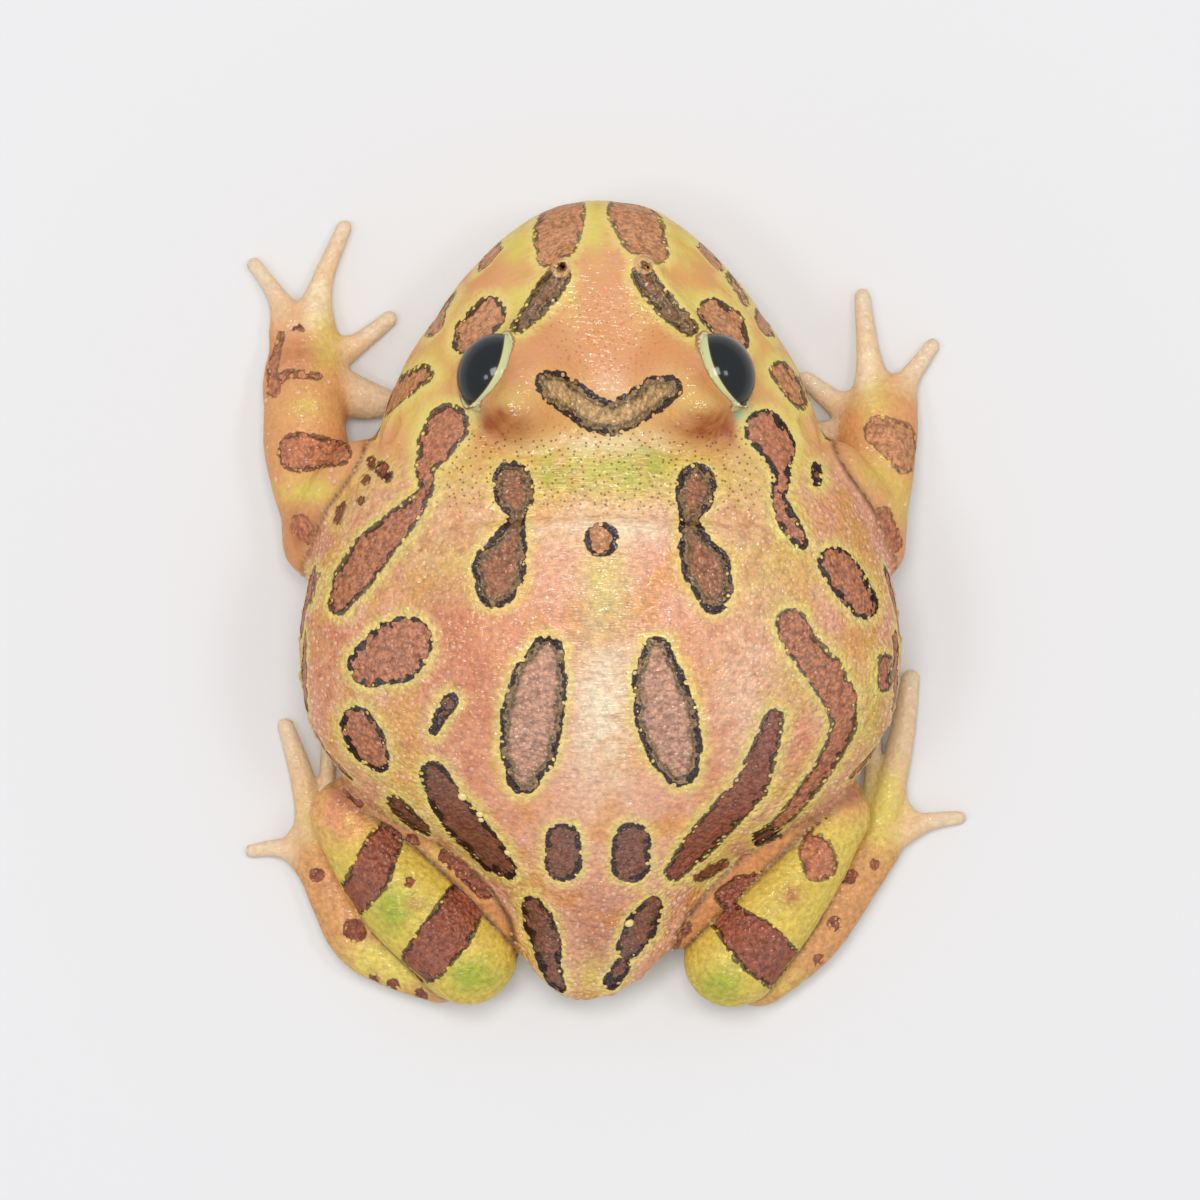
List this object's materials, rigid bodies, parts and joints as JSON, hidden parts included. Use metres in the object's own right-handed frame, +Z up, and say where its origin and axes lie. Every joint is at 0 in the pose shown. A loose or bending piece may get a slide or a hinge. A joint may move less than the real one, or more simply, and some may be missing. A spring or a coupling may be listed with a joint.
{
  "type": "argentine horned frog",
  "caption": "Still life-size model of a horned frog sitting flat, with a broad head, hooded eyes and folded legs.",
  "frame": {"origin": "on the floor, under the middle of the whole frog as seen from above", "axes": "-Y towards the snout, +X to the frog's own left, +Z up"},
  "size_m": [0.0908, 0.101, 0.0431],
  "materials": {
    "skin": "moist, patterned skin",
    "limb_skin": "moist, banded skin",
    "digit_skin": "moist, thin pale skin",
    "throat_skin": "moist, pale skin",
    "eye": "wet, glossy"
  },
  "bodies": {
    "root": {"eye_left": "eye", "eye_right": "eye", "finger_left_1": "digit_skin", "finger_left_2": "digit_skin", "finger_left_3": "digit_skin", "finger_left_4": "digit_skin", "finger_right_1": "digit_skin", "finger_right_2": "digit_skin", "finger_right_3": "digit_skin", "finger_right_4": "digit_skin", "foot_left": "limb_skin", "foot_right": "limb_skin", "forearm_left": "limb_skin", "forearm_right": "limb_skin", "head": "skin", "horn_left": "skin", "horn_right": "skin", "lower_jaw": "throat_skin", "palm_left": "limb_skin", "palm_right": "limb_skin", "shank_left": "limb_skin", "shank_right": "limb_skin", "thigh_left": "limb_skin", "thigh_right": "limb_skin", "toe_left_1": "digit_skin", "toe_left_2": "digit_skin", "toe_left_3": "digit_skin", "toe_left_4": "digit_skin", "toe_left_5": "digit_skin", "toe_right_1": "digit_skin", "toe_right_2": "digit_skin", "toe_right_3": "digit_skin", "toe_right_4": "digit_skin", "toe_right_5": "digit_skin", "torso": "skin", "upper_arm_left": "limb_skin", "upper_arm_right": "limb_skin"}
  },
  "joints": []
}
